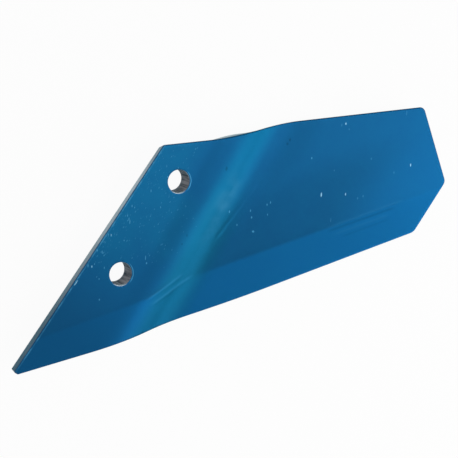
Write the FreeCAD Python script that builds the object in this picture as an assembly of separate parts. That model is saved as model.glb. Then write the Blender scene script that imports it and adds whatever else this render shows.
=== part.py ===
import FreeCAD, Part
import math
import os

# A wing share: one steel plate with a flat bolting plate at its left, a joggle across
# its middle, and a wing whose long lower edge is bevelled to cut.
# Frame: X runs from the bolts to the wing, Y along the line of the two bolts, and Z out
# of the front face. The origin lies half way between the bolts, on the bolting face,
# which is the back of the bolting plate. Lengths are in millimetres, angles in degrees.

# Plate and bolts
plate_thickness = 12.0
bolt_hole_diameter = 13.0
bolt_pitch = 60.0
bolt_edge_distance = 20.0

# Joggle: a wide bend and a tighter one that carry the wing back, behind the bolting plate
joggle_depth = 11.0
joggle_start = 7.5
joggle_width = 46.5
first_bend_share = 0.57
joggle_lean = 3.0

# Outline of the front face seen along Z
tip_reach = 108.0
nose_width = 3.2
plate_top_reach = 41.6
left_edge_lean = 1.0
plate_top_angle = 38.3
plate_cut_angle = 45.2
plate_cut_length = 116.0
wing_cut_angle = 49.5
cut_blend_length = 50.0
wing_reach = 158.8
far_edge_angle = 91.5
far_edge_length = 36.7
end_edge_length = 50.3
end_edge_angle = 145.7
wing_top_angle = 38.9

# Corner radii of the outline
plate_corner_radius = 2.0
wing_corner_radius = 4.0
end_corner_radius = 4.0
cut_corner_radius = 6.0

# Sides that slope in towards the back. The left one is twisted, and the top one swells a
# little at its back edge where the first bend squeezed it.
side_taper = 12.0
tip_taper = 10.5
plate_corner_taper = 16.0
edge_swell = 1.5

# Shallow bevel along the lower edge
bevel_angle = 5.0
bevel_width = 22.3
bevel_line_angle = 49.1

# How fine a bent edge is traced
bent_edge_points = 15

UP = FreeCAD.Vector(0, 0, 1)
EAST = FreeCAD.Vector(1, 0, 0)


def heading(angle):
    """Unit vector in the XY plane, turned from X."""
    turn = math.radians(angle)
    return FreeCAD.Vector(math.cos(turn), math.sin(turn), 0)


def meet(start, along, other_start, other_along):
    """Where two lines in the XY plane cross."""
    side = FreeCAD.Vector(-other_along.y, other_along.x, 0)
    distance = (other_start - start).dot(side) / along.dot(side)
    return start + along * distance


# Both bends run along one direction, and the plate steps down across it.
across_bend = heading(joggle_lean)
along_bend = heading(90 + joggle_lean)
full_turn = 2 * math.atan(joggle_depth / joggle_width)
first_width = joggle_width * first_bend_share
second_width = joggle_width - first_width
first_bend_radius = first_width / math.sin(full_turn)
second_bend_radius = second_width / math.sin(full_turn)
# The plate starts this much oversize, and the tools that trim it reach past that.
spare = plate_thickness
tool_margin = 0.75 * spare
tool_reach = 4 * spare
twist_limit = 1e-6 * plate_thickness ** 2
plate_reach = 2 * (wing_reach + tip_reach)


def outline_corners():
    """Corners of the front face, from the tip round past the wing.

    The tip is where the left and the lower side would meet. A blunt nose cuts it off.
    """
    left_foot = EAST * -bolt_edge_distance
    left = heading(90 - left_edge_lean)
    tip = meet(left_foot, left, FreeCAD.Vector(0, -tip_reach, 0), EAST)
    plate_corner = meet(left_foot, left, FreeCAD.Vector(0, plate_top_reach, 0), EAST)
    cut_turn = tip + heading(plate_cut_angle) * plate_cut_length
    far_line = EAST * wing_reach
    cut_corner = meet(cut_turn, heading(wing_cut_angle), far_line, heading(90))
    end_corner = cut_corner + heading(far_edge_angle) * far_edge_length
    wing_corner = end_corner + heading(end_edge_angle) * end_edge_length
    return {
        "tip": tip,
        "cut_turn": cut_turn,
        "cut_corner": cut_corner,
        "end_corner": end_corner,
        "wing_corner": wing_corner,
        "plate_corner": plate_corner,
    }


def front_height(point):
    """Height of the unbevelled front face over a point in the XY plane."""
    run = point.dot(across_bend) - joggle_start
    run = min(max(run, 0), joggle_width)
    if run < first_width:
        sine = run / first_bend_radius
        fall = first_bend_radius * (1 - math.sqrt(1 - sine ** 2))
    else:
        sine = (joggle_width - run) / second_bend_radius
        fall = joggle_depth - second_bend_radius * (1 - math.sqrt(1 - sine ** 2))
    return plate_thickness - fall


def bend_profile(depth):
    """Edges across the plate, along a skin that lies depth below the front face."""
    first_centre = across_bend * joggle_start + UP * (plate_thickness - first_bend_radius)
    wing_height = plate_thickness - joggle_depth
    second_end = across_bend * (joggle_start + joggle_width)
    second_centre = second_end + UP * (wing_height + second_bend_radius)
    first_radius = first_bend_radius - depth
    second_radius = second_bend_radius + depth

    def first_arc(turn):
        return first_centre + (across_bend * math.sin(turn) + UP * math.cos(turn)) * first_radius

    def second_arc(turn):
        return second_centre - (across_bend * math.sin(turn) + UP * math.cos(turn)) * second_radius

    plate_end = first_arc(0) - across_bend * plate_reach
    wing_end = second_arc(0) + across_bend * plate_reach
    return [
        Part.makeLine(plate_end, first_arc(0)),
        Part.Arc(first_arc(0), first_arc(full_turn / 2), first_arc(full_turn)).toShape(),
        Part.Arc(second_arc(full_turn), second_arc(full_turn / 2), second_arc(0)).toShape(),
        Part.makeLine(second_arc(0), wing_end),
    ]


def bent_block(lower_edges, upper_edges, along=along_bend):
    """Solid between two profiles across the plate, drawn out along the bends."""
    start_side = Part.makeLine(upper_edges[0].firstVertex().Point, lower_edges[0].firstVertex().Point)
    end_side = Part.makeLine(lower_edges[-1].lastVertex().Point, upper_edges[-1].lastVertex().Point)
    wire = Part.Wire(Part.__sortEdges__([start_side] + lower_edges + [end_side] + upper_edges))
    face = Part.Face(wire)
    face.translate(along * -plate_reach)
    return face.extrude(along * (2 * plate_reach))


def joggled_plate(corners):
    """Plate of even thickness, bent down and level again, a little over its outline."""
    plate = bent_block(bend_profile(plate_thickness), bend_profile(0))
    points = list(corners.values())
    outline = Part.makePolygon(points + points[:1]).makeOffset2D(spare, join=2)
    outline.translate(UP * -plate_reach)
    return plate.common(Part.Face(outline).extrude(UP * (2 * plate_reach)))


def bent_run(start, start_along, end, end_along):
    """Plan points of a side that leaves one line and runs smoothly into another."""
    handle = (end - start).Length / 3
    curve = Part.BezierCurve()
    curve.setPoles([start, start + start_along * handle, end - end_along * handle, end])
    return curve.discretize(bent_edge_points)


def lean(inward, taper):
    """How far a side moves inwards for each millimetre of depth."""
    return inward * math.tan(math.radians(taper))


def side_point(plan_point, its_lean, depth):
    """Point on a cut side, depth below the front face."""
    return plan_point + UP * (front_height(plan_point) - depth) + its_lean * depth


def smooth_edge(points):
    """One curve through points, or a line through two."""
    if len(points) == 2:
        return Part.makeLine(points[0], points[1])
    curve = Part.BSplineCurve()
    curve.interpolate(points)
    return curve.toShape()


def side_wall(upper, lower):
    """Face between two rails: flat where it can be, and ruled where it curves or twists."""
    corners = [upper.firstVertex().Point, upper.lastVertex().Point]
    corners += [lower.lastVertex().Point, lower.firstVertex().Point]
    twist = (corners[1] - corners[0]).cross(corners[2] - corners[3]).Length
    if not isinstance(upper.Curve, Part.Line) or twist > twist_limit:
        return Part.makeRuledSurface(upper, lower)
    return Part.Face(Part.makePolygon(corners + corners[:1]))


def overrun(runs):
    """The same side with its first and last straight runs drawn out past the corners."""
    first, last = runs[0], runs[-1]
    start = first[0] - (first[1] - first[0]).normalize() * tool_reach
    end = last[-1] + (last[-1] - last[-2]).normalize() * tool_reach
    runs = [list(run) for run in runs]
    runs[0][0] = start
    runs[-1][-1] = end
    return runs


def side_cutter(runs, leans, inward):
    """Solids that take away what lies outside one side of the plate."""
    cutters = []
    rails = []
    for depth in (-tool_margin, plate_thickness + tool_margin):
        rail = [list(map(side_point, *pair, [depth] * len(pair[0]))) for pair in zip(runs, leans)]
        rails.append([smooth_edge(points) for points in overrun(rail)])
    for upper, lower in zip(*rails):
        cutters.append(side_wall(upper, lower).extrude(inward * -tool_reach))
    return cutters


def even_leans(runs, inward, taper):
    """The same lean for every point of every run."""
    return [[lean(inward, taper)] * len(run) for run in runs]


def swollen_leans(run, inward):
    """Leans along the joggle: the first bend swells its back edge, the second draws it in."""
    full_swell = edge_swell / plate_thickness
    turns = [2 * math.pi * k / (len(run) - 1) for k in range(len(run))]
    return [lean(inward, side_taper) - inward * (full_swell * math.sin(turn)) for turn in turns]


def top_side(corners):
    """Top side: along the bolting plate, down the joggle and along the wing."""
    plate_along = heading(plate_top_angle)
    wing_along = heading(wing_top_angle)
    first_bend = across_bend * joggle_start
    last_bend = across_bend * (joggle_start + joggle_width)
    plate_end = meet(corners["plate_corner"], plate_along, first_bend, along_bend)
    wing_start = meet(corners["wing_corner"], wing_along, last_bend, along_bend)
    runs = [
        [corners["plate_corner"], plate_end],
        bent_run(plate_end, plate_along, wing_start, wing_along),
        [wing_start, corners["wing_corner"]],
    ]
    inward = heading(plate_top_angle - 90)
    leans = even_leans(runs, inward, side_taper)
    leans[1] = swollen_leans(runs[1], inward)
    return side_cutter(runs, leans, inward)


def cutting_side(corners):
    """Lower side: the face of the cutting edge, square to the bolting plate."""
    plate_along = heading(plate_cut_angle)
    wing_along = heading(wing_cut_angle)
    plate_end = meet(corners["tip"], plate_along, across_bend * joggle_start, along_bend)
    wing_start = corners["cut_turn"] + wing_along * cut_blend_length
    runs = [
        [corners["tip"], plate_end],
        bent_run(plate_end, plate_along, wing_start, wing_along),
        [wing_start, corners["cut_corner"]],
    ]
    inward = heading(plate_cut_angle + 90)
    return side_cutter(runs, even_leans(runs, inward, 0.0), inward)


def straight_side(start, end, inward_angle, start_taper=side_taper, end_taper=side_taper):
    """One of the three short straight sides, whose taper may change along it."""
    inward = heading(inward_angle)
    leans = [[lean(inward, start_taper), lean(inward, end_taper)]]
    return side_cutter([[start, end]], leans, inward)


def blunt_nose(tip):
    """Short square side that cuts the sharp tip off."""
    spread = 1 / math.tan(math.radians(plate_cut_angle)) - math.tan(math.radians(left_edge_lean))
    above_tip = FreeCAD.Vector(0, nose_width / spread, 0)
    return straight_side(tip + above_tip, tip + above_tip + EAST * nose_width, 90, 0.0, 0.0)


def cut_outline(plate, corners):
    """Cut the bent plate to its outline, side by side."""
    cutters = top_side(corners) + cutting_side(corners)
    left_ends = (corners["tip"], corners["plate_corner"])
    cutters += straight_side(*left_ends, -left_edge_lean, tip_taper, plate_corner_taper)
    cutters += straight_side(corners["cut_corner"], corners["end_corner"], far_edge_angle + 90)
    cutters += straight_side(corners["end_corner"], corners["wing_corner"], end_edge_angle + 90)
    cutters += blunt_nose(corners["tip"])
    for cutter in cutters:
        plate = plate.cut(cutter)
    return plate


def bevel_cutter(corners):
    """The space over the front face, tipped down about the inner line of the bevel."""
    outward = heading(bevel_line_angle - 90)
    line_point = corners["cut_corner"] + heading(wing_cut_angle + 90) * bevel_width
    slope = math.tan(math.radians(bevel_angle))

    def tipped(point):
        return point - UP * (slope * (point - line_point).dot(outward))

    lower = []
    for edge in bend_profile(0):
        steps = 2 if isinstance(edge.Curve, Part.Line) else bent_edge_points
        lower.append(smooth_edge([tipped(point) for point in edge.discretize(steps)]))
    above = UP * plate_reach
    upper = [Part.makeLine(lower[0].firstVertex().Point + above, lower[-1].lastVertex().Point + above)]
    return bent_block(lower, upper, along_bend - UP * (slope * along_bend.dot(outward)))


def round_corners(plate, corners):
    """Round the four wide corners of the outline."""
    radii = {
        "plate_corner": plate_corner_radius,
        "wing_corner": wing_corner_radius,
        "end_corner": end_corner_radius,
        "cut_corner": cut_corner_radius,
    }
    for name, radius in radii.items():
        plate = plate.makeFillet(radius, [corner_edge(plate, corners[name])])
    return plate


def corner_edge(plate, corner):
    """The edge through the plate's thickness that lies nearest to a corner."""
    def reach(edge):
        middle = edge.valueAt((edge.FirstParameter + edge.LastParameter) / 2)
        return FreeCAD.Vector(middle.x - corner.x, middle.y - corner.y, 0).Length

    def rise(edge):
        return edge.BoundBox.ZLength

    through = [edge for edge in plate.Edges if rise(edge) > plate_thickness / 3]
    return min(through, key=reach)


def drill_bolt_holes(plate):
    """Two plain round holes through the bolting plate."""
    for side in (-1, 1):
        foot = FreeCAD.Vector(0, side * bolt_pitch / 2, -tool_margin)
        depth = plate_thickness + 2 * tool_margin
        plate = plate.cut(Part.makeCylinder(bolt_hole_diameter / 2, depth, foot, UP))
    return plate


def make_share():
    corners = outline_corners()
    share = cut_outline(joggled_plate(corners), corners)
    share = share.cut(bevel_cutter(corners))
    share = round_corners(share, corners)
    return drill_bolt_holes(share)


os.makedirs("parts", exist_ok=True)
share = make_share()
solid = share.Solids[0]
share.exportStep("parts/share_blade.step")
print("solids", len(share.Solids), "valid", share.isValid(), "faces", len(share.Faces))
print("volume cm3", round(solid.Volume / 1000, 1), "centre", solid.CenterOfMass)
print("box", share.optimalBoundingBox())
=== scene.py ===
# %% [markdown]
# # A plough share in blue enamel
# The real object is one piece of 12 mm steel plate. At its left is a flat bolting plate with
# two holes, then the plate steps back in a joggle, a pair of smooth bends, and runs on as the
# wing. The long lower edge is bevelled to cut the soil. The whole thing is dipped in blue
# enamel, which is glossy, a little uneven, and already chipped here and there.
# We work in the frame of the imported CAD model: metres, Z out of the front face, Y along the
# line of the two bolts, X towards the wing, and the origin between the bolts on the back.

# %% Load the frame
import bpy
import math
from functools import partial
import numpy as np
from mathutils import Matrix, Vector, geometry


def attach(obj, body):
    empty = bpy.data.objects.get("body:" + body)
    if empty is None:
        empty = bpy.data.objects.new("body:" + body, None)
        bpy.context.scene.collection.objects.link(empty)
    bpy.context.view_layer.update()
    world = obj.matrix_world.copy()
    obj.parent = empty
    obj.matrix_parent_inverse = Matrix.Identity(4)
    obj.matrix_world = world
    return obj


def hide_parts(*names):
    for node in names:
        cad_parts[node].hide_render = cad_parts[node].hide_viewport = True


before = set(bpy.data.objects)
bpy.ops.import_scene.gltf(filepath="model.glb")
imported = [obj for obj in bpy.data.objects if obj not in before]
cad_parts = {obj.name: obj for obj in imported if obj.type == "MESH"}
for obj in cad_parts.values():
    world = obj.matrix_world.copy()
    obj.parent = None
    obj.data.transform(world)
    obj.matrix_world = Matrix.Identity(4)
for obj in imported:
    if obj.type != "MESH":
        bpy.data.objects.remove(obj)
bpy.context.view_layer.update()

# %% [markdown]
# ## The sizes of the share
# These are the same driving sizes that the CAD model has, in millimetres and degrees. Keeping
# them as named numbers lets the dressed mesh follow the solid exactly, bend for bend, so that
# the light behaves as it does on the real plate.

# %% Sizes
MM = 0.001
plate_thickness = 12.0
bolt_hole_radius = 6.5
bolt_pitch = 60.0
joggle_depth, joggle_start, joggle_width, joggle_lean = 11.0, 7.5, 46.5, 3.0
first_bend_share = 0.57
side_taper, tip_taper, plate_corner_taper, edge_swell = 12.0, 10.5, 16.0, 1.5
left_angle, plate_top_angle, wing_top_angle = 89.0, 38.3, 38.9
plate_cut_angle, wing_cut_angle, far_edge_angle, end_edge_angle = 45.2, 49.5, 91.5, 145.7
nose_width, nose_spread = 3.2, 0.975
bevel_slope = math.tan(math.radians(5.0))
bevel_width, bevel_line_angle = 22.3, 49.1


def heading(angle):
    """Unit vector in the plane of the plate, turned from X."""
    return Vector((math.cos(math.radians(angle)), math.sin(math.radians(angle))))


def meet(start, along, other_start, other_along):
    """Where two lines in the plane cross."""
    side = Vector((-other_along.y, other_along.x))
    return start + along * ((other_start - start).dot(side) / along.dot(side))


left_along = heading(left_angle)
tip = meet(Vector((-20.0, 0)), left_along, Vector((0, -108.0)), heading(0))
plate_corner = meet(Vector((-20.0, 0)), left_along, Vector((0, 41.6)), heading(0))
cut_turn = tip + heading(plate_cut_angle) * 116.0
cut_corner = meet(cut_turn, heading(wing_cut_angle), Vector((158.8, 0)), heading(90))
end_corner = cut_corner + heading(far_edge_angle) * 36.7
wing_corner = end_corner + heading(end_edge_angle) * 50.3
nose_left = meet(tip, left_along, tip + Vector((0, nose_width / nose_spread)), heading(0))
nose_right = meet(tip, heading(plate_cut_angle), nose_left, heading(0))
corner_points = (tip, cut_corner, end_corner, wing_corner, plate_corner)
print("corners, mm:", [tuple(round(c, 1) for c in p) for p in corner_points])

# %% [markdown]
# ## The skin: how high the front face lies
# A press makes the joggle with a rounded punch and die, so each bend is a circular arc and
# the two meet on a common slope. The height of the front face over any point of the plan is
# then one short formula. We also want the face's normal there, because the plate keeps its
# thickness round the bends: the back lies 12 mm behind the front along that normal.

# %% The joggled skin
across_bend = heading(joggle_lean)
full_turn = 2 * math.atan(joggle_depth / joggle_width)
first_width = joggle_width * first_bend_share
first_radius = first_width / math.sin(full_turn)
second_radius = (joggle_width - first_width) / math.sin(full_turn)


def skin(point):
    """Height of the unbevelled front face over a plan point, and its unit normal."""
    run = min(max(point.x * across_bend.x + point.y * across_bend.y - joggle_start, 0), joggle_width)
    if run < first_width:
        sine = run / first_radius
        cosine = math.sqrt(1 - sine * sine)
        fall = first_radius * (1 - cosine)
    else:
        sine = (joggle_width - run) / second_radius
        cosine = math.sqrt(1 - sine * sine)
        fall = joggle_depth - second_radius * (1 - cosine)
    return plate_thickness - fall, Vector((across_bend.x * sine, across_bend.y * sine, cosine))


def back_height(point):
    """Height of the back face over a plan point: a plate's thickness behind the skin."""
    foot = point.copy()
    for _ in range(8):
        foot = point + skin(foot)[1].xy * plate_thickness
    height, normal = skin(foot)
    return height - normal.z * plate_thickness


print("steepest slope of the joggle, degrees:", round(math.degrees(full_turn), 1))

# %% [markdown]
# ## The bevel and the marks of the press
# The bevel takes the front face down towards the cutting edge at 5 degrees. Where it starts
# the real plate has no knife-sharp line, because it was rolled hot and enamelled, so the
# formula blends over about 2 mm. Rolling and pressing left marks as well: two short creases
# where the bevel runs through the joggle, a longer one along the foot of the joggle, and a few
# shallow ones along the bevel near the far end. They are fractions of a millimetre high, but a
# glossy face shows them, so they are in the geometry. Each is a line in the plan, with a width,
# a height, and how much painted highlight (above 0) or painted shade (below 0) its crest gets;
# the strongest also get painted shade beside them.

# %% The front face
bevel_out = heading(bevel_line_angle - 90)
bevel_origin = cut_corner + heading(wing_cut_angle + 90) * bevel_width
press_creases = [
    (Vector((21.0, -36.5)), Vector((36.0, -9.5)), 1.0, 0.10, 0.38),
    (Vector((26.0, -37.0)), Vector((42.5, -7.5)), 1.0, 0.10, 0.38),
    (Vector((42.2, 14.0)), Vector((47.2, 57.0)), 1.2, 0.12, 0.0),
    (Vector((101.0, 57.5)), Vector((138.5, 101.5)), 0.9, 0.04, 0.20),
    (Vector((103.0, 56.5)), Vector((137.0, 95.5)), 0.9, -0.04, -0.24),
    (Vector((108.0, 57.5)), Vector((136.0, 89.5)), 0.9, 0.04, 0.18),
    (Vector((113.0, 58.5)), Vector((138.0, 87.5)), 0.8, -0.03, -0.13),
]


crease_fade, bevel_blend, bevel_mark_width = 6.0, 1.2, 1.6


def smooth_step(value):
    """Smooth rise from 0 to 1."""
    value = min(max(value, 0.0), 1.0)
    return value * value * (3 - 2 * value)


def crease_profile(point, start, end, width):
    """Share of a crease's height at a plan point: a smooth ridge that fades at both ends."""
    along = (end - start).normalized()
    run = (point - start).dot(along)
    side = (point - start).dot(Vector((-along.y, along.x)))
    if abs(side) > 4 * width:
        return 0.0
    left_over = (end - start).length - run
    fade = smooth_step(run / crease_fade) * smooth_step(left_over / crease_fade)
    return fade * math.exp(-(side / width) ** 2)


def press_marks(point):
    """Small rises and falls of the front face."""
    return sum(crease_profile(point, *crease[:3]) * crease[3] for crease in press_creases)


def crease_shading(point):
    """Painted highlight (above 0) or painted shade (below 0) along the creases, with painted shade beside
    the strongest.
    """
    tone = 0.0
    for start, end, width, height, strength in press_creases:
        along = (end - start).normalized()
        beside = Vector((-along.y, along.x)) * width * 1.7
        tone += strength * crease_profile(point, start, end, width * 0.8)
        if strength > 0.3:
            tone -= 0.5 * strength * crease_profile(point + beside, start, end, width * 0.7)
    return tone


def front(point):
    """Height of the finished front face over a plan point."""
    out = (point - bevel_origin).dot(bevel_out)
    blended = (out + math.sqrt(out * out + bevel_blend)) / 2
    return skin(point)[0] - bevel_slope * blended + press_marks(point)


bevel_drop = skin(cut_corner)[0] - front(cut_corner)
print("bevel drop at the far end, mm:", round(bevel_drop, 2), "creases:", len(press_creases))

# %% [markdown]
# ## The outline
# Seen from the front the share has five long sides and a blunt nose. Three of the long sides
# are straight. The top and the lower side swing through the joggle, and a Bezier curve joins
# their two straight runs, because the photo shows one smooth sweep there. Four sides slope
# inwards towards the back, and the cutting side and the nose are square, so the outline is
# worked out for any depth: each point is slid inwards by its own lean, neighbours are cut
# where they cross, and the corners rounded.
# The top side's lean changes through the joggle. Bending squeezes the inner side of a bend
# and stretches the outer one, so its back edge swells at the first bend and is drawn in at
# the second. From the front that shows as a thin pale sliver beside the first bend.

# %% Outline at any depth
def bezier_run(start, start_along, end, end_along, steps=24):
    """Smooth run from one line into another."""
    handle = (end - start).length / 3
    return geometry.interpolate_bezier(
        start.to_3d(), (start + start_along * handle).to_3d(),
        (end - end_along * handle).to_3d(), end.to_3d(), steps + 1)


def straight_run(start, end, spacing=1.3):
    """Evenly spaced points from start up to, but without, the end."""
    steps = max(2, round((end - start).length / spacing))
    return [start.lerp(end, k / steps) for k in range(steps)]


def swept_side(start, start_along, first_bend, last_bend, end, end_along):
    """A side that leaves one line and swings through the joggle into another."""
    points = [p.xy for p in bezier_run(first_bend, start_along, last_bend, end_along)]
    return straight_run(start, first_bend) + points + straight_run(last_bend, end)[1:] + [end]


bend_along = heading(90 + joggle_lean)
bend_in = across_bend * joggle_start
bend_out = across_bend * (joggle_start + joggle_width)

plate_top, wing_top = heading(plate_top_angle), heading(wing_top_angle)
top_in = meet(plate_corner, plate_top, bend_in, bend_along)
top_out = meet(wing_corner, wing_top, bend_out, bend_along)
top_points = swept_side(plate_corner, plate_top, top_in, top_out, wing_corner, wing_top)

plate_cut, wing_cut = heading(plate_cut_angle), heading(wing_cut_angle)
cut_in = meet(tip, plate_cut, bend_in, bend_along)
cut_out = cut_turn + wing_cut * 50.0
cut_points = swept_side(nose_right, plate_cut, cut_in, cut_out, cut_corner, wing_cut)


def leans(points, inward_angle, start_taper, end_taper):
    """How far each point moves inwards per millimetre of depth."""
    first, last = math.tan(math.radians(start_taper)), math.tan(math.radians(end_taper))
    steps = len(points) - 1
    return [heading(inward_angle) * (first + (last - first) * k / steps) for k in range(steps + 1)]


def swell(point):
    """Swelling of the top side's back edge, per millimetre of depth."""
    share = (point - top_in).dot(top_out - top_in) / (top_out - top_in).length_squared
    return edge_swell / plate_thickness * math.sin(2 * math.pi * min(max(share, 0), 1))


far_points = straight_run(cut_corner, end_corner) + [end_corner]
end_points = straight_run(end_corner, wing_corner) + [wing_corner]
top_points = top_points[::-1]
left_points = straight_run(plate_corner, nose_left) + [nose_left]
nose_points = straight_run(nose_left, nose_right) + [nose_right]
top_in_angle = plate_top_angle - 90
top_leans = leans(top_points, top_in_angle, side_taper, side_taper)
top_leans = [l - heading(top_in_angle) * swell(p) for l, p in zip(top_leans, top_points)]
sides = [
    (cut_points, leans(cut_points, plate_cut_angle + 90, 0.0, 0.0)),
    (far_points, leans(far_points, far_edge_angle + 90, side_taper, side_taper)),
    (end_points, leans(end_points, end_edge_angle + 90, side_taper, side_taper)),
    (top_points, top_leans),
    (left_points, leans(left_points, left_angle - 90, plate_corner_taper, tip_taper)),
    (nose_points, leans(nose_points, 90, 0.0, 0.0)),
]
corner_radii = [(6.0, 6.0), (4.0, 4.0), (4.0, 4.0), (2.0, 2.0), (1.3, 0.5), (1.3, 0.5)]
print("points along the sides:", [len(side[0]) for side in sides])

# %% [markdown]
# A rounded corner is an arc that touches both neighbouring sides. Each side gives up the
# length that the arc takes, and its other points are spread again between the new ends, so
# that every outline has the same number of points and two outlines can be joined by quads.

# %% Rounded corners
arc_steps, moved_points = 10, 12


def respaced(points, start, end):
    """The same side with new ends: points near each end are spread again up to it."""
    last = len(points) - 1
    if last < moved_points:
        return [start.lerp(end, k / last) for k in range(last + 1)]
    moved = [p.copy() for p in points]
    near = min(moved_points, last // 3)
    for ends, new, order in ((points[0], start, 1), (points[-1], end, -1)):
        anchor = points[near] if order == 1 else points[last - near]
        for k in range(near):
            moved[k if order == 1 else last - k] = new.lerp(anchor, k / near)
    return moved


def outline(depth):
    """Closed outline of the plate at a depth below the skin."""
    slid = [[p + lean * depth for p, lean in zip(*side)] for side in sides]
    number = len(sides)
    starts, ends, arcs = [None] * number, [None] * number, []
    for k, (front_radius, back_radius) in enumerate(corner_radii):
        radius = front_radius + (back_radius - front_radius) * depth / plate_thickness
        first, second = slid[k], slid[(k + 1) % number]
        into = (first[-1] - first[-3]).normalized()
        away = (second[2] - second[0]).normalized()
        corner = meet(first[-1], into, second[0], away)
        turn = math.acos(into.dot(away))
        reach = radius * math.tan(turn / 2)
        left = Vector((-into.y, into.x))
        centre = corner - into * reach + left * radius
        angles = [turn * j / arc_steps for j in range(arc_steps + 1)]
        arc = [centre + (into * math.sin(a) - left * math.cos(a)) * radius for a in angles]
        ends[k], starts[(k + 1) % number] = arc[0], arc[-1]
        arcs.append(arc[1:-1])
    loop = []
    for k in range(number):
        loop += respaced(slid[k], starts[k], ends[k]) + arcs[k]
    return loop


skin_outline = outline(0.0)
back_outline = outline(plate_thickness)
count = len(skin_outline)


def inward_of(loop):
    """Unit vectors that point into the plate, one for each outline point."""
    result = []
    for k in range(len(loop)):
        along = (loop[(k + 1) % len(loop)] - loop[k - 1]).normalized()
        result.append(Vector((-along.y, along.x)))
    return result


inward = inward_of(skin_outline)
print("outline points:", count)

# %% [markdown]
# ## Rings from the front edge to the back edge
# Press-cut steel has no razor edges once it is enamelled: the front edge is rounded by about
# a millimetre, and the bare steel of the left side reaches into that rounding. We build the
# side as a stack of rings, each given by how far it lies inside the side and how deep below
# the face: a quarter circle at the front, the flat side, and a smaller one at the back.

# %% Rings of the sides
front_round, back_round = 0.9, 0.4


def wall_point(k, depth, inset=0.0):
    """Plan point of the side at place k, at a depth below the skin and a little inside it."""
    return skin_outline[k].lerp(back_outline[k], depth / plate_thickness) + inward[k] * inset


def edge_depth(k, height_of, depth):
    """Depth at which the side at place k meets one of the faces."""
    for _ in range(6):
        depth = outline_heights[k] - height_of(wall_point(k, depth))
    return depth


outline_heights = [skin(p)[0] for p in skin_outline]
front_depths = [edge_depth(k, front, 0.0) for k in range(count)]
back_depths = [edge_depth(k, back_height, plate_thickness) for k in range(count)]


def quarter(steps, radius):
    """How far a quarter circle lies inside each of its two end lines, step by step."""
    angles = [math.radians(90) * j / steps for j in range(steps + 1)]
    return [(radius * (1 - math.sin(a)), radius * (1 - math.cos(a))) for a in angles]


def ring_by_face(depths, height_of, sunk, inset):
    """Ring beside the front or back face: sunk below that face and inset from the side."""
    spots = [wall_point(k, depths[k] + sunk, inset) for k in range(count)]
    return [Vector((p.x, p.y, height_of(p) - sunk)) for p in spots]


rings = []
for j, (inset, fall) in enumerate(quarter(5, front_round)):
    rings.append((ring_by_face(front_depths, front, fall, inset), j / 5))
for share in (0.35, 0.7):
    ring = []
    for k in range(count):
        first, last = front_depths[k] + front_round, back_depths[k] - back_round
        depth = first + (last - first) * share
        spot = wall_point(k, depth)
        ring.append(Vector((spot.x, spot.y, outline_heights[k] - depth)))
    rings.append((ring, 1.0))
for j, (lift, inset) in enumerate(quarter(4, back_round)):
    rings.append((ring_by_face(back_depths, back_height, -lift, inset), 1.0 - j / 4))
print("rings:", len(rings), "deepest front edge, mm:", round(max(front_depths), 2))

# %% [markdown]
# ## Filling the two faces
# The front and back need an even mesh that follows the bends, with two round holes in it. A
# Delaunay fill does that: we scatter points on a fine triangular grid inside the outline,
# outside the holes, and let Blender join them with the edge loops. At about 1.3 mm spacing
# the smooth shading shows no facets in the reflections. Slivers between three points of a
# straight edge have no area and no true normal, so they are left out.

# %% Fill helpers
smallest_area = 0.002
hole_steps = 64
hole_centres = [Vector((0, -bolt_pitch / 2)), Vector((0, bolt_pitch / 2))]


def circle(centre, radius, height):
    """Points round a bolt hole at a height, with the clock."""
    angles = [2 * math.pi * k / hole_steps for k in range(hole_steps)]
    flat = [centre + Vector((math.cos(a), -math.sin(a))) * radius for a in angles]
    return [Vector((p.x, p.y, height)) for p in flat]


def inside(points, loop):
    """Which points lie inside a closed loop, by counting crossings."""
    x, y = points[:, 0][:, None], points[:, 1][:, None]
    x0, y0 = loop[:, 0][None], loop[:, 1][None]
    x1, y1 = np.roll(loop[:, 0], -1)[None], np.roll(loop[:, 1], -1)[None]
    cut = (y0 > y) != (y1 > y)
    with np.errstate(divide="ignore", invalid="ignore"):
        crossing = x0 + (y - y0) * (x1 - x0) / (y1 - y0)
    return (cut & (x < crossing)).sum(axis=1) % 2 == 1


def nearest(points, loop):
    """Distance from each point to the nearest point of a loop."""
    result = np.empty(len(points))
    batch = 2000
    for start in range(0, len(points), batch):
        apart = points[start:start + batch, None] - loop[None]
        result[start:start + batch] = np.sqrt((apart ** 2).sum(axis=2)).min(axis=1)
    return result


def triangular_grid(low, high, spacing):
    """Points of an even triangular grid over a box."""
    grid = []
    for n, y in enumerate(np.arange(low[1], high[1], spacing * 0.866)):
        shift = spacing / 2 * (n % 2)
        grid += [(x + shift, y) for x in np.arange(low[0], high[0], spacing)]
    return np.array(grid)


def beside_creases(points, reach):
    """Which points lie within reach of one of the creases."""
    found = np.zeros(len(points), bool)
    for start, end, *_ in press_creases:
        start, end = np.array(start), np.array(end)
        run = end - start
        share = np.clip((points - start) @ run / (run @ run), 0, 1)
        foot = start + share[:, None] * run
        found |= ((points - foot) ** 2).sum(axis=1) < reach ** 2
    return found


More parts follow.
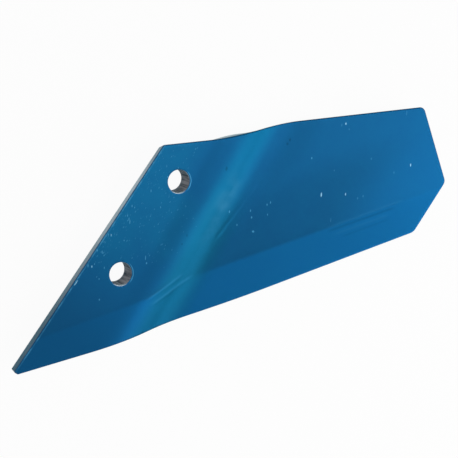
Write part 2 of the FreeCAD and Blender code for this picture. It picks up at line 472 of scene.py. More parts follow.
def filled(loop, holes, spacing, with_creases):
    """Triangles that fill a loop with holes: plan points, corner triples, edge distances."""
    edge = np.array([tuple(p) for p in loop])
    low, high = edge.min(axis=0), edge.max(axis=0)
    grid = triangular_grid(low, high, spacing)
    if with_creases:
        fine = triangular_grid(low, high, spacing * 0.45)
        grid = np.vstack([grid[~beside_creases(grid, 3.2)], fine[beside_creases(fine, 2.6)]])
    grid = grid[inside(grid, edge)]
    distance = nearest(grid, edge)
    keep = distance > spacing * 0.55
    for hole in holes:
        ring = np.array([tuple(p) for p in hole])
        keep &= ~inside(grid, ring) & (nearest(grid, ring) > spacing * 0.45)
    grid, distance = grid[keep], distance[keep]
    points, edges = [], []
    for chain in [loop] + holes:
        first = len(points)
        points += list(chain)
        edges += [(first + k, first + (k + 1) % len(chain)) for k in range(len(chain))]
    points += [Vector(p) for p in grid]
    made, _, faces, _, _, _ = geometry.delaunay_2d_cdt(points, edges, [], 0, 1e-6)
    assert len(made) == len(points), "the fill moved or merged points"
    corners = np.array([[tuple(made[c]) for c in f] for f in faces])
    (ax, ay), (bx, by) = (corners[:, 1] - corners[:, 0]).T, (corners[:, 2] - corners[:, 0]).T
    centres = corners.mean(axis=1)
    keep = inside(centres, edge) & (abs(ax * by - ay * bx) / 2 > smallest_area)
    for hole in holes:
        keep &= ~inside(centres, np.array([tuple(p) for p in hole]))
    return points, [f for f, k in zip(faces, keep) if k], distance


print("hole centres, mm:", [tuple(c) for c in hole_centres])

# %% [markdown]
# The mesh also carries masks for the finish, one value at each point: how near an edge it is,
# whether it is a sheared side, a hole's wall, the bevel or the front, and the creases' painted
# highlight and shade.
# The material reads them by name, so that paint and wear follow the shape exactly. The bare
# side begins a few rings below the front edge, and nearer to it on the left.

# %% Start the mesh
verts, faces = [], []
mark_names = ("edge_near", "side_wall", "bolt_bore", "on_bevel", "front_side", "crease_shading", "pale_rim")
marks = {name: [] for name in mark_names}


def add_verts(points, **values):
    """Add points, in millimetres, with their marks, and give the number of the first."""
    first = len(verts)
    for k, p in enumerate(points):
        verts.append(p * MM)
        for name, column in marks.items():
            value = values.get(name, 0.0)
            column.append(value[k] if isinstance(value, list) else value)
        out = (p.xy - bevel_origin).dot(bevel_out)
        marks["on_bevel"][-1] = min(max(out / bevel_mark_width + 0.5, 0.0), 1.0)
        if values.get("front_side"):
            marks["crease_shading"][-1] = crease_shading(p.xy)
    return first


def join(upper, lower, number):
    """Quads between two rings of the same number of points."""
    for k in range(number):
        n = (k + 1) % number
        faces.append((upper + k, lower + k, lower + n, upper + n))


left_side_x, first_bare_left, first_bare, last_bare, last_front = -14.0, 4, 6, 8, 3
ring_starts = []
for n, (ring, near) in enumerate(rings):
    starts = [first_bare_left if p.x < left_side_x else first_bare for p in ring]
    sheared = [1.0 if start <= n <= last_bare else 0.0 for start in starts]
    facing = 1.0 if n <= last_front else 0.0
    ring_starts.append(add_verts(ring, edge_near=near, side_wall=sheared, front_side=facing))
for upper, lower in zip(ring_starts, ring_starts[1:]):
    join(upper, lower, count)
print("side quads:", len(faces))

# %% [markdown]
# ## The bolt holes
# A punched hole has a small rounded rim, then a straight wall that the enamel hardly reached.
# The same ring idea works here, at both ends. The front rim of each hole is pale, partly worn
# and partly a painted highlight, mostly on the sides that face along the row of bolts. That is a
# mark on the rings as well, strongest on the side away from the tip.

# %% Bolt holes
rim = 0.1
ring_angles = [-2 * math.pi * k / hole_steps for k in range(hole_steps)]
towards_tip = [max(0.0, -math.sin(a)) ** 3 for a in ring_angles]
away_from_tip = [max(0.0, math.sin(a + 0.1)) ** 4 for a in ring_angles]
# Partly wear and partly a painted highlight: the pale rim is brightest on the side away from the tip.
rim_shine = [0.3 * near + 0.9 * far for near, far in zip(towards_tip, away_from_tip)]
hole_rings = []
for centre in hole_centres:
    starts = []
    for j, (out, fall) in enumerate(quarter(3, rim)):
        ring = circle(centre, bolt_hole_radius + out, plate_thickness - fall)
        shine = rim_shine if j else 0.0
        starts.append(add_verts(ring, bolt_bore=1.0 if j == 3 else 0.0, front_side=1.0, pale_rim=shine))
    for height in (11.3, 10.7, 8.0, 4.0, rim):
        shine = [0.8 * v for v in rim_shine] if height > 11 else 0.0
        ring = circle(centre, bolt_hole_radius, height)
        starts.append(add_verts(ring, bolt_bore=1.0, pale_rim=shine))
    starts.append(add_verts(circle(centre, bolt_hole_radius + rim, 0.0), edge_near=1.0))
    for upper, lower in zip(starts, starts[1:]):
        join(upper, lower, hole_steps)
    hole_rings.append(starts)
print("hole rings:", [len(starts) for starts in hole_rings])

# %% [markdown]
# The edge points of a face are there already, in the rings, so its fill takes those and adds
# only the points between them. The mark of the edge fades inwards over about 3 mm.

# %% Fill the front and the back
def fill_face(outer, hole_starts, height_of, spacing, back):
    """Fill one face and share its edge points with the rings that are there already."""
    outer_points = [(verts[outer + k] / MM).xy for k in range(count)]
    holes = [[(verts[s + k] / MM).xy for k in range(hole_steps)] for s in hole_starts]
    points, triangles, distance = filled(outer_points, holes, spacing, not back)
    known = count + hole_steps * len(holes)
    index = [outer + k for k in range(count)]
    for s in hole_starts:
        index += [s + k for k in range(hole_steps)]
    near = [float(max(0.0, 0.35 - d * 0.12)) for d in distance]
    facing = 0.0 if back else 1.0
    added = [Vector((p.x, p.y, height_of(p))) for p in points[known:]]
    first = add_verts(added, edge_near=near, front_side=facing)
    index += [first + k for k in range(len(points) - known)]
    for tri in triangles:
        corners = [index[c] for c in tri]
        faces.append(tuple(corners[::-1] if back else corners))
    return len(triangles)


front_count = fill_face(ring_starts[0], [s[0] for s in hole_rings], front, 1.3, False)
back_count = fill_face(ring_starts[-1], [s[-1] for s in hole_rings], back_height, 2.2, True)
print("triangles on the front and back:", front_count, back_count)

# %% Make the piece
mesh = bpy.data.meshes.new("enamelled_share")
mesh.from_pydata(verts, [], faces)
mesh.validate()
mesh.shade_smooth()
for name, values in marks.items():
    mesh.attributes.new(name, "FLOAT", "POINT").data.foreach_set("value", values)
share = bpy.data.objects.new("enamelled_share", mesh)
bpy.context.scene.collection.objects.link(share)
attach(share, "root")
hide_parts("share_blade")
print("share:", len(mesh.vertices), "points,", len(mesh.polygons), "faces")

# %% [markdown]
# ## Effects shared by the finishes
# Cloudy tone turns up on the blue enamel and on the bare steel, coarse and fine, and chips and
# specks are wanted in many sizes. Each effect is a node group with its own inputs, so that a
# finish only says how large and how dense it wants it.

# %% Node helpers
def new_group(name, inputs, outputs):
    """Empty shader node group with float inputs and outputs."""
    group = bpy.data.node_groups.new(name, "ShaderNodeTree")
    group.interface.new_socket("Vector", in_out="INPUT", socket_type="NodeSocketVector")
    for title, value in inputs.items():
        socket = group.interface.new_socket(title, in_out="INPUT", socket_type="NodeSocketFloat")
        socket.default_value = value
    for title in outputs:
        group.interface.new_socket(title, in_out="OUTPUT", socket_type="NodeSocketFloat")
    return group


def ends(group):
    """What a group is given, and where its result goes."""
    return place(group, "NodeGroupInput").outputs, place(group, "NodeGroupOutput").inputs


def place(tree, kind, **settings):
    """Add a node and set its properties."""
    node = tree.nodes.new(kind)
    for key, value in settings.items():
        setattr(node, key, value)
    return node


def maths(tree, operation, first, second=None, clamp=False):
    """Math node with numbers or sockets as its inputs, giving its output socket."""
    node = place(tree, "ShaderNodeMath", operation=operation, use_clamp=clamp)
    for socket, value in zip(node.inputs, (first, second)):
        if isinstance(value, (int, float)):
            socket.default_value = value
        elif value is not None:
            tree.links.new(value, socket)
    return node.outputs[0]


def ramp(tree, value, low, high):
    """Smooth step from 0 at low to 1 at high."""
    node = place(tree, "ShaderNodeMapRange", interpolation_type="SMOOTHSTEP")
    tree.links.new(value, node.inputs["Value"])
    node.inputs["From Min"].default_value = low
    node.inputs["From Max"].default_value = high
    return node.outputs["Result"]


def blend(tree, mask, first, second):
    """Mix two colours by a mask."""
    node = place(tree, "ShaderNodeMix", data_type="RGBA")
    tree.links.new(mask, node.inputs["Factor"])
    for socket, value in ((node.inputs[6], first), (node.inputs[7], second)):
        if isinstance(value, tuple):
            socket.default_value = (*value, 1.0)
        else:
            tree.links.new(value, socket)
    return node.outputs[2]


def add_group(tree, group, vector, **values):
    """Place a group in a material and set its inputs by number or socket."""
    node = place(tree, "ShaderNodeGroup", node_tree=group)
    tree.links.new(vector, node.inputs["Vector"])
    for title, value in values.items():
        if isinstance(value, (int, float)):
            node.inputs[title].default_value = value
        else:
            tree.links.new(value, node.inputs[title])
    return node.outputs[0]


print("node helpers ready")

# %% Group: cloudy tone
cloud = new_group("cloudy_tone", {"Scale": 20.0, "Detail": 4.0}, ["Tone"])
given, result = ends(cloud)
noise = place(cloud, "ShaderNodeTexNoise")
for title in ("Vector", "Scale", "Detail"):
    cloud.links.new(given[title], noise.inputs[title])
cloud.links.new(ramp(cloud, noise.outputs["Fac"], 0.3, 0.7), result["Tone"])
print("group", cloud.name, "gives", [s.name for s in cloud.interface.items_tree if s.in_out == "OUTPUT"])

# %% [markdown]
# Chips and specks are small and scattered, and they come in patches. Voronoi cells give the
# scatter: near a cell's middle there is a speck. Each cell's own random values decide whether
# its speck is there at all, so that raising the share brings out more of them, and how faint
# it is. A second group makes one single chip of a given place, length, width and heading, for
# the chips that are large enough to be known one by one.

# %% Group: specks
specks = new_group("specks", {"Scale": 300.0, "Size": 0.3, "Share": 0.2}, ["Mask"])
given, result = ends(specks)
speck_maths = partial(maths, specks)
rough_edge = place(specks, "ShaderNodeTexNoise")
rough_edge.inputs["Scale"].default_value = 900.0
specks.links.new(given["Vector"], rough_edge.inputs["Vector"])
cells = place(specks, "ShaderNodeTexVoronoi")
for title in ("Vector", "Scale"):
    specks.links.new(given[title], cells.inputs[title])
wobble = speck_maths("MULTIPLY", rough_edge.outputs["Fac"], 0.3)
reach = speck_maths("ADD", cells.outputs["Distance"], wobble)
size = speck_maths("ADD", given["Size"], 0.15)
dot = speck_maths("MULTIPLY", speck_maths("SUBTRACT", size, reach), 12.0, clamp=True)
split = place(specks, "ShaderNodeSeparateColor")
specks.links.new(cells.outputs["Color"], split.inputs["Color"])
chosen = speck_maths("LESS_THAN", split.outputs["Red"], given["Share"])
faintness = speck_maths("ADD", speck_maths("POWER", split.outputs["Green"], 2.0), 0.15, clamp=True)
shown = speck_maths("MULTIPLY", speck_maths("MULTIPLY", dot, chosen), faintness)
specks.links.new(shown, result["Mask"])
print("group", specks.name, "ready")

# %% Group: one chip
rubbed_heading = 121.0
chip_inputs = {"X": 0.0, "Y": 0.0, "Length": 1.0, "Width": 0.5, "Heading": rubbed_heading}
one_chip = new_group("one_chip", chip_inputs, ["Mask"])
given, result = ends(one_chip)
here = place(one_chip, "ShaderNodeSeparateXYZ")
one_chip.links.new(given["Vector"], here.inputs[0])
chip_maths = partial(maths, one_chip)
turn_by = chip_maths("RADIANS", given["Heading"])
cosine, sine = chip_maths("COSINE", turn_by), chip_maths("SINE", turn_by)
off_x = chip_maths("SUBTRACT", chip_maths("MULTIPLY", here.outputs["X"], 1 / MM), given["X"])
off_y = chip_maths("SUBTRACT", chip_maths("MULTIPLY", here.outputs["Y"], 1 / MM), given["Y"])
run = chip_maths("ADD", chip_maths("MULTIPLY", off_x, cosine), chip_maths("MULTIPLY", off_y, sine))
side = chip_maths("SUBTRACT", chip_maths("MULTIPLY", off_y, cosine), chip_maths("MULTIPLY", off_x, sine))
long_part = chip_maths("POWER", chip_maths("DIVIDE", run, given["Length"]), 2.0)
wide_part = chip_maths("POWER", chip_maths("DIVIDE", side, given["Width"]), 2.0)
ragged = place(one_chip, "ShaderNodeTexNoise")
ragged.inputs["Scale"].default_value = 1500.0
one_chip.links.new(given["Vector"], ragged.inputs["Vector"])
edge_of = chip_maths("ADD", chip_maths("ADD", long_part, wide_part), ragged.outputs["Fac"])
chip_mask = chip_maths("MULTIPLY", chip_maths("SUBTRACT", 1.5, edge_of), 2.0, clamp=True)
one_chip.links.new(chip_mask, result["Mask"])
print("group", one_chip.name, "ready")

# %% [markdown]
# ## Blue enamel over steel
# The enamel is a deep blue with a slightly green gloss. It is darker towards the tip, a painted
# shade; brighter on the far end of the wing and on the bevel, a painted reflection; darker on the
# wing beside the bevel and past the joggle, a painted shade; greener and darker in the joggle, a
# painted shade and a painted tint of the reflection there; and thin and cloudy on the bolting
# plate between the bolts, where its paler tone is partly a painted reflection. We lay these tones
# over one another, each with a soft mask worked out from its place on the share.

# %% Start the enamel material
enamel = bpy.data.materials.new("blue_enamel")
enamel.use_nodes = True
tree = enamel.node_tree
shader = tree.nodes["Principled BSDF"]
coordinates = place(tree, "ShaderNodeTexCoord").outputs["Object"]
axes = place(tree, "ShaderNodeSeparateXYZ")
tree.links.new(coordinates, axes.inputs[0])
at_x, at_y, at_z = axes.outputs

# Short words for this material's node maths
times = partial(maths, tree, "MULTIPLY")
plus = partial(maths, tree, "ADD")
minus = partial(maths, tree, "SUBTRACT")
stronger = partial(maths, tree, "MAXIMUM")
rise = partial(ramp, tree)
cover = partial(blend, tree)


def mark(name):
    """Mask that the mesh carries."""
    return place(tree, "ShaderNodeAttribute", attribute_name=name).outputs["Fac"]


def cloudy(scale, detail):
    """Cloudy tone over the whole share."""
    return add_group(tree, cloud, coordinates, Scale=scale, Detail=detail)


def flip(mask):
    """The other side of a mask."""
    return minus(1.0, mask)


def window(value, start, full, fall, gone):
    """Mask that comes up from start to full and goes down again from fall to gone."""
    return times(rise(value, start, full), flip(rise(value, fall, gone)))


print("material", enamel.name, "started")

# %% Blue of the wing and the bevel
deep_blue = (0.009, 0.117, 0.292)
lit_blue = (0.008, 0.158, 0.415)
shaded_blue = (0.006, 0.060, 0.140)

clouds = cloudy(14.0, 3.0)
# Painted reflection: the far end of the wing and the bevel are painted a brighter blue.
far_end = rise(at_x, 0.09, 0.17)
paint = cover(plus(times(far_end, 0.5), times(clouds, 0.12)), deep_blue, lit_blue)
paint = cover(times(mark("on_bevel"), 0.85), paint, lit_blue)
off_bevel = plus(times(at_x, bevel_out.x), times(at_y, bevel_out.y))
off_bevel = minus(off_bevel, bevel_origin.dot(bevel_out) * MM)
across = plus(at_x, times(at_y, math.tan(math.radians(joggle_lean))))
# Painted shade: the wing beside the bevel and just past the joggle is painted a darker blue.
wing_shade = times(rise(off_bevel, -0.047, -0.025), window(at_x, 0.045, 0.057, 0.095, 0.130))
wing_shade = stronger(wing_shade, times(window(across, 0.050, 0.058, 0.060, 0.074), 0.6))
wing_shade = times(wing_shade, flip(mark("on_bevel")))
paint = cover(times(wing_shade, 0.28), paint, shaded_blue)
print("wing tones ready")

# %% [markdown]
# The joggle's trough is painted greener and darker, less so towards the top: a painted shade and
# a painted tint of the lamp's reflection in the bend. A lighter blue on the bend's shoulder is a
# painted highlight. On the bolting plate the coat is thin and cloudy, beside the left edge and
# between the bolts, and its paler tone there is partly a painted reflection. A faint dull spot
# lies half way up the bend, and the tip is darkest of all, a painted shade.

# %% Blue of the joggle, the plate and the tip
bend_trough_shade_blue = (0.006, 0.114, 0.218)
bend_top_reflection_blue = (0.006, 0.138, 0.290)
thin_and_lit_teal = (0.009, 0.146, 0.325)
shoulder_highlight_blue = (0.008, 0.200, 0.390)
mottled_blue = (0.010, 0.190, 0.370)
dull_blue = (0.050, 0.210, 0.360)
tip_shade_blue = (0.009, 0.090, 0.220)

# Painted shade and a painted tint of the reflection in the joggle, darker and greener in its trough.
upper_bend = rise(at_y, 0.015, 0.065)
in_bend = window(across, 0.018, 0.030, 0.042, 0.056)
in_bend = times(in_bend, flip(times(upper_bend, rise(across, 0.036, 0.048))))
paint = cover(times(in_bend, 0.9), paint, cover(upper_bend, bend_trough_shade_blue, bend_top_reflection_blue))
# The paler teal on the upper left of the bolting plate and between the bolts is partly thin enamel and
# partly a painted reflection; the same masks also set where chips gather.
worn_and_lit_plate = times(flip(rise(at_x, -0.008, 0.008)), rise(at_y, -0.048, -0.014))
between_bolts = times(window(at_y, -0.018, -0.004, 0.018, 0.034), flip(rise(at_x, 0.012, 0.030)))
thin_and_lit_paint = stronger(worn_and_lit_plate, between_bolts)
paint = cover(times(thin_and_lit_paint, 0.75), paint, thin_and_lit_teal)
# Painted highlight: a lighter blue on the shoulder of the bend.
shoulder = times(window(across, 0.018, 0.0275, 0.029, 0.038), window(at_y, -0.012, 0.012, 0.036, 0.055))
paint = cover(times(shoulder, 0.2), paint, shoulder_highlight_blue)
mottle = cloudy(95.0, 4.0)
fine = cloudy(420.0, 2.0)
mottled = plus(times(mottle, plus(times(thin_and_lit_paint, 0.12), 0.06)), times(fine, 0.05))
paint = cover(mottled, paint, mottled_blue)
dull_spot = times(window(across, 0.026, 0.035, 0.036, 0.044), window(at_y, 0.004, 0.030, 0.038, 0.066))
paint = cover(times(dull_spot, times(mottle, 0.35)), paint, dull_blue)
# Painted shade: the tip is painted darkest.
paint = cover(times(rise(at_y, -0.016, -0.078), 0.5), paint, tip_shade_blue)
print("joggle and plate tones ready")

# %% [markdown]
# The chips run the way the share was rubbed, so the specks are stretched: the coordinates are
# turned to that heading and squeezed along it before they reach the group. Noise gathers the
# chips in patches, closest together beside the left edge.

# %% Fine chips and dust
turned = place(tree, "ShaderNodeMapping")
turned.inputs["Rotation"].default_value = (0.0, 0.0, math.radians(90.0 - rubbed_heading))
turned.inputs["Scale"].default_value = (1.0, 0.42, 1.0)
tree.links.new(coordinates, turned.inputs["Vector"])
patch = cloudy(75.0, 2.0)
left_edge = minus(plus(at_x, 0.02), times(at_y, math.tan(math.radians(90.0 - left_angle))))
beside_edge = flip(rise(left_edge, 0.003, 0.014))
dense = plus(times(times(patch, patch), 0.45), times(times(beside_edge, patch), 0.50))
dense = plus(dense, times(times(beside_edge, rise(at_y, -0.038, -0.022)), 0.10))
dense = times(dense, flip(times(rise(at_y, 0.000, 0.030), 0.65)))
scatter = partial(add_group, tree, specks, turned.outputs["Vector"])
chips = scatter(Scale=900.0, Size=0.26, Share=times(worn_and_lit_plate, dense))
fine_share = times(thin_and_lit_paint, plus(times(patch, 0.60), 0.12))
fine_chips = scatter(Scale=1100.0, Size=0.28, Share=fine_share)
dust = scatter(Scale=420.0, Size=0.04, Share=0.06)
scuffs = stronger(times(chips, 0.6), stronger(times(fine_chips, 0.42), times(dust, 0.35)))
# The broken pale line just inside the left edge is partly chipped enamel and partly a painted highlight on
# the ridge of the rounded edge.
ridge_breaks = cloudy(220.0, 4.0)
ridge = window(left_edge, 0.0004, 0.0008, 0.0011, 0.0016)
ridge = times(ridge, plus(times(times(ridge_breaks, ridge_breaks), 0.60), 0.18))
scuffs = times(stronger(scuffs, ridge), mark("front_side"))
print("fine chips ready")

# %% [markdown]
# The larger chips are known one by one, on the bolting plate and on the wing. Each has its
# place in the plan and its half length and half width, in millimetres, and where it doesn't
# run the rubbed way, its own heading. Some are faint, a few are bright, and a few spots are
# dark, where grit was caught in the enamel. The mask for the front keeps all of them off the
# back, where no soil rubs.

# %% Single chips
single_chips = [
    (-15.6, 4.3, 0.8, 0.35), (-13.9, 4.4, 0.5, 0.3), (-13.1, -2.5, 1.0, 0.3), (-11.8, -3.5, 1.3, 0.35),
    (-14.9, -1.3, 0.7, 0.3), (-16.7, -15.3, 0.6, 0.45), (-18.4, -15.8, 1.0, 0.3), (-8.8, -13.7, 0.5, 0.3),
    (-19.0, -26.0, 0.8, 0.5), (-16.1, -25.4, 0.9, 0.35), (-16.1, -33.1, 0.5, 0.3), (-16.6, -35.0, 0.8, 0.5),
    (-18.8, -35.6, 1.2, 0.35), (7.5, -15.3, 1.5, 0.28), (9.7, -17.4, 0.7, 0.45), (-10.1, -32.0, 0.8, 0.25),
    (-9.2, -38.6, 0.5, 0.35), (-2.6, -48.0, 0.6, 0.4), (-7.0, 28.5, 0.6, 0.3), (-11.0, 17.0, 0.9, 0.3),
    (-1.0, 12.5, 0.7, 0.25), (68.7, 87.6, 0.8, 0.5), (52.7, 41.2, 0.8, 0.4), (55.6, 38.3, 0.7, 0.5),
    (61.3, 32.1, 0.7, 0.9), (59.8, 49.7, 0.7, 0.4), (61.0, 51.9, 0.8, 0.4), (63.5, 45.1, 0.7, 0.3),
    (40.8, 33.5, 0.9, 0.5), (50.1, 29.9, 0.6, 0.4),
]
faint_chips = [
    (103.5, 109.2, 0.8, 0.5), (122.1, 111.1, 0.8, 0.6), (86.0, 89.8, 0.6, 0.5), (112.2, 87.9, 0.9, 0.5),
    (109.7, 84.8, 0.9, 0.5), (108.0, 144.9, 1.6, 0.4), (80.0, 115.1, 0.7, 0.5), (74.2, 114.3, 0.9, 0.5),
    (101.7, 64.5, 1.6, 0.35),
]
bright_chips = [
    (87.1, 73.4, 1.5, 0.5), (101.1, 82.4, 0.9, 0.35), (129.5, 121.2, 1.1, 0.45), (76.1, 116.5, 0.8, 0.45),
    (-16.6, -35.0, 0.6, 0.3), (-19.3, -47.0, 1.9, 0.3, 88.0), (-16.9, -15.0, 0.5, 0.25),
]
dark_spots = [
    (22.6, 7.9, 0.9, 0.5), (22.8, 2.4, 0.8, 0.6), (21.6, 51.6, 1.5, 0.9),
    (50.3, 88.4, 1.1, 0.8), (50.2, 85.6, 1.0, 0.8),
]


def chips_at(places):
    """Mask of single chips on the front."""
    mask = None
    for x, y, long, wide, *turn in places:
        along = turn[0] if turn else rubbed_heading
        chip = add_group(tree, one_chip, coordinates, X=x, Y=y, Length=long, Width=wide, Heading=along)
        mask = chip if mask is None else stronger(mask, chip)
    return times(mask, mark("front_side"))


scuffs = stronger(scuffs, times(chips_at(single_chips), 0.7))
scuffs = stronger(scuffs, times(chips_at(faint_chips), 0.25))
print("single chips:", len(single_chips + faint_chips + bright_chips), "dark spots:", len(dark_spots))

# %% [markdown]
# The marks go over the blue in their order: the creases' painted highlights on the crests and
# painted shade beside them and in the troughs, the dark spots, then the chips, and the brightest
# chips last.

# %% Lay the marks over the blue
crest_highlight_blue = (0.035, 0.225, 0.430)
crease_shade_blue = (0.004, 0.070, 0.150)
spot_blue = (0.004, 0.050, 0.120)
chip_colour = (0.085, 0.40, 0.70)
bright_chip_colour = (0.30, 0.64, 0.88)

# Painted highlight on the creases' crests, painted shade beside them and in the troughs.
shade = mark("crease_shading")
paint = cover(times(shade, 0.8, clamp=True), paint, crest_highlight_blue)
paint = cover(times(shade, -1.2, clamp=True), paint, crease_shade_blue)
paint = cover(times(chips_at(dark_spots), 0.5), paint, spot_blue)
paint = cover(scuffs, paint, chip_colour)
paint = cover(times(chips_at(bright_chips), 0.85), paint, bright_chip_colour)
print("marks laid over the blue")

# %% [markdown]
# Each hole has a fine pale line in the enamel beside it, partly thin enamel and partly a painted
# highlight on its lip, and a stretch of its rim that is pale steel, partly worn and partly a
# painted highlight. Both are crescents, so we measure how far a point lies from its own hole: the
# two holes are one pitch apart, and a step at the middle of the row tells them apart.

# %% Crescents at the holes
upper_hole = maths(tree, "GREATER_THAN", at_y, 0.0)
hole_y = minus(at_y, minus(times(upper_hole, bolt_pitch * MM), bolt_pitch * MM / 2))
from_hole = maths(tree, "SQRT", plus(times(at_x, at_x), times(hole_y, hole_y)))
soft_edge = 0.0003


def crescent(angle, inner, outer, reach):
    """Mask of a crescent round a hole, on the side of an angle."""
    way = heading(angle)
    towards = plus(times(at_x, way.x), times(hole_y, way.y))
    band = window(from_hole, inner, inner + soft_edge, outer, outer + soft_edge)
    return times(times(band, rise(towards, reach, 0.0066)), rise(at_z, 0.0099, 0.0106))


# The pale line beside each hole is partly thin enamel and partly a painted highlight on the lip; the pale
# stretch of rim is partly worn steel and partly a painted highlight.
paint = cover(times(crescent(35.0, 0.0069, 0.0074, 0.0045), 0.75), paint, chip_colour)
worn_and_lit_rim = times(crescent(-60.0, 0.0061, 0.0067, 0.0046), 0.85)
print("crescents ready, each", round(soft_edge / MM, 1), "mm soft")

# %% [markdown]
# ## Bare steel
# Where the plate was sheared, its sides are bare. The long left side is the brightest: it is
# dull and dark near the tip, partly bluish overspray and partly painted shade, and painted pale
# towards the plate's corner, a painted light that dips again near the corner. The top side is
# painted paler beside the first bend, a painted light. The walls of the bolt holes are dark, with
# streaks along the hole, and their front rims are pale, partly rubbed and partly a painted
# highlight. Paint and steel share one shader, and masks choose between them.

# %% Steel
dark_steel = (0.10, 0.11, 0.15)
lit_steel = (0.80, 0.78, 0.80)
clouded_steel = (0.25, 0.25, 0.26)
bore_dark, bore_pale = (0.10, 0.10, 0.12), (0.52, 0.49, 0.51)
rubbed_and_lit_steel = (0.72, 0.84, 0.90)

# Painted light on the bare sides: the left side is painted paler from the tip towards the plate's corner,
# and the top side beside the first bend is painted paler; the dark end near the tip is partly bluish
# overspray.
on_left = flip(rise(at_x, -0.012, 0.0))
side_light = rise(at_y, -0.085, 0.010)
side_light = times(side_light, flip(times(rise(at_y, 0.018, 0.036), 0.45)))
top_of_bend = times(window(at_x, 0.000, 0.008, 0.036, 0.050), rise(at_y, 0.045, 0.055))
other_sides = plus(times(top_of_bend, 0.6), 0.4)
painted_light_side = stronger(times(on_left, side_light), times(flip(on_left), other_sides))
steel = cover(painted_light_side, dark_steel, lit_steel)
steel_tone = cloudy(120.0, 5.0)
steel = cover(times(steel_tone, 0.35), steel, clouded_steel)
streaked = place(tree, "ShaderNodeMapping")
streaked.inputs["Scale"].default_value = (1.0, 1.0, 0.08)
tree.links.new(coordinates, streaked.inputs["Vector"])
streaks = add_group(tree, cloud, streaked.outputs["Vector"], Scale=700.0, Detail=3.0)
steel = cover(mark("bolt_bore"), steel, cover(streaks, bore_dark, bore_pale))
steel = cover(stronger(mark("pale_rim"), worn_and_lit_rim), steel, rubbed_and_lit_steel)
print("steel tones ready")

# %% Choose between paint and steel
edge_shade_blue = (0.008, 0.070, 0.095)

# Painted shade: the rounded front edge of the sides other than the left is painted a dark blue.
outer_edge = times(rise(mark("edge_near"), 0.2, 0.8), flip(on_left))
paint = cover(times(outer_edge, 0.65), paint, edge_shade_blue)
wear_noise = cloudy(260.0, 3.0)
edge_wear = plus(times(wear_noise, 0.03), times(on_left, 0.40))
worn = times(rise(mark("edge_near"), 0.25, 0.9), edge_wear)
bare = stronger(worn, times(mark("side_wall"), 0.92))
bare = stronger(bare, stronger(mark("bolt_bore"), mark("pale_rim")))
bare = stronger(bare, worn_and_lit_rim, clamp=True)
tree.links.new(cover(bare, paint, steel), shader.inputs["Base Color"])
print("paint and steel joined")

# %% [markdown]
# The gloss comes from one shader for both: a little metal in the enamel gives its deep shine,
# steel has more of it, and chips have less. The enamel stays just soft enough that the lamps'
# mirror images have no hard edge. A very low bump gives the fine unevenness of a dipped coat.

# %% Gloss and relief
gloss = plus(plus(times(clouds, 0.04), 0.29), times(bare, 0.12))
tree.links.new(plus(gloss, times(scuffs, 0.2)), shader.inputs["Roughness"])
metal = times(plus(times(bare, 0.2), 0.3), flip(times(mark("bolt_bore"), 0.5)))
tree.links.new(minus(metal, times(scuffs, 0.15)), shader.inputs["Metallic"])
shader.inputs["Specular IOR Level"].default_value = 0.0
shader.inputs["Specular Tint"].default_value = (0.4, 0.8, 0.9, 1.0)

relief = place(tree, "ShaderNodeBump")
relief.inputs["Strength"].default_value = 0.25
relief.inputs["Distance"].default_value = 0.0001
tree.links.new(plus(times(fine, 0.25), times(scuffs, -0.6)), relief.inputs["Height"])
tree.links.new(relief.outputs["Normal"], shader.inputs["Normal"])
mesh.materials.append(enamel)
print("enamel nodes:", len(tree.nodes))

# %% [markdown]
# ## Floor, light and camera
# The share lies on a pale floor, resting on the back of its wing, in a plain studio: a large
# soft light to the right, low enough to be mirrored by the slope of the joggle, one overhead,
# a smaller one beyond the far end of the wing, and an even white surround. The floor shows
# itself almost white to the camera and still keeps the share's shadow.

# %% Floor
floor_mesh = bpy.data.meshes.new("studio_floor")
half = 3.0
level = -joggle_depth * MM
floor_corners = [(-half, -half, level), (half, -half, level), (half, half, level), (-half, half, level)]
floor_mesh.from_pydata(floor_corners, [], [(0, 1, 2, 3)])
floor = bpy.data.objects.new("studio_floor", floor_mesh)
bpy.context.scene.collection.objects.link(floor)
pale = bpy.data.materials.new("pale_floor")
pale.use_nodes = True
tree = pale.node_tree
base = tree.nodes["Principled BSDF"]
base.inputs["Base Color"].default_value = (0.86, 0.86, 0.86, 1)
base.inputs["Roughness"].default_value = 0.9
base.inputs["Specular IOR Level"].default_value = 0.1
glow = place(tree, "ShaderNodeEmission")
glow.inputs["Strength"].default_value = 1.0
rays = place(tree, "ShaderNodeLightPath")
seen = maths(tree, "MAXIMUM", rays.outputs["Is Camera Ray"], rays.outputs["Is Glossy Ray"])
seen = maths(tree, "MAXIMUM", seen, rays.outputs["Is Transmission Ray"])
mix = place(tree, "ShaderNodeMixShader")
tree.links.new(maths(tree, "MULTIPLY", seen, 0.955), mix.inputs["Fac"])
tree.links.new(base.outputs[0], mix.inputs[1])
tree.links.new(glow.outputs[0], mix.inputs[2])
tree.links.new(mix.outputs[0], tree.nodes["Material Output"].inputs["Surface"])
floor_mesh.materials.append(pale)
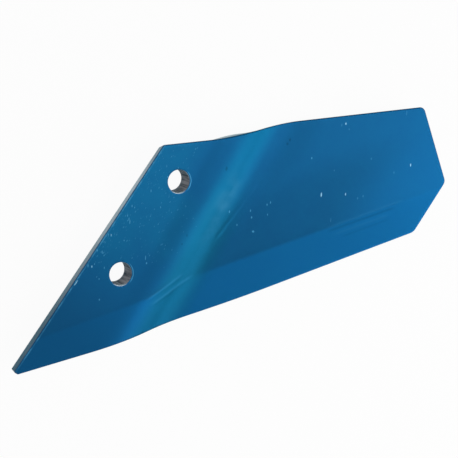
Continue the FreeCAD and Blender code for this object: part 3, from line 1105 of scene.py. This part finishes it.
print("floor at", round(level * 1000, 1), "mm")


# %% Lights
def soft_light(name, place_at, look_at, width, height, power, colour=(1, 1, 1)):
    """Rectangular lamp that faces a point."""
    data = bpy.data.lights.new(name, "AREA")
    data.shape, data.size, data.size_y = "RECTANGLE", width, height
    data.energy, data.color = power, colour
    lamp = bpy.data.objects.new(name, data)
    lamp.location = place_at
    lamp.rotation_euler = (Vector(look_at) - Vector(place_at)).to_track_quat("-Z", "Y").to_euler()
    bpy.context.scene.collection.objects.link(lamp)
    return lamp


middle = (0.06, 0.02, 0.0)
soft_light("right_softbox", (0.80, 0.10, 0.29), middle, 0.60, 0.42, 2.3)
soft_light("overhead_softbox", (0.35, 0.40, 1.35), (0.35, 0.40, 0.0), 0.6, 0.7, 3.5)
soft_light("far_softbox", (0.51, 0.36, 0.54), (0.14, 0.10, 0.0), 0.35, 0.35, 0.8)

world = bpy.data.worlds.new("white_surround")
bpy.context.scene.world = world
world.use_nodes = True
tree = world.node_tree
surround = tree.nodes["Background"]
surround.inputs["Color"].default_value = (1, 1, 1, 1)
rays = place(tree, "ShaderNodeLightPath")
seen = maths(tree, "MAXIMUM", rays.outputs["Is Camera Ray"], rays.outputs["Is Transmission Ray"])
strength = maths(tree, "ADD", maths(tree, "MULTIPLY", seen, 0.65), 0.35)
tree.links.new(strength, surround.inputs["Strength"])

# %% Camera
camera_data = bpy.data.cameras.new("photo_camera")
camera_data.sensor_width = 36.0
camera_data.lens = 98.25
camera = bpy.data.objects.new("photo_camera", camera_data)
right = Vector((0.737, 0.525, 0.4256))
back = Vector((-0.4442, -0.0983, 0.8905)).normalized()
up = back.cross(right).normalized()
right = up.cross(back)
standing_at = Matrix.Translation((-0.2719, -0.0453, 0.6406))
camera.matrix_world = standing_at @ Matrix((right, up, back)).transposed().to_4x4()
bpy.context.scene.collection.objects.link(camera)
bpy.context.scene.camera = camera
bpy.context.scene.view_settings.view_transform = "Standard"
print("camera at", [round(c, 3) for c in camera.matrix_world.translation])
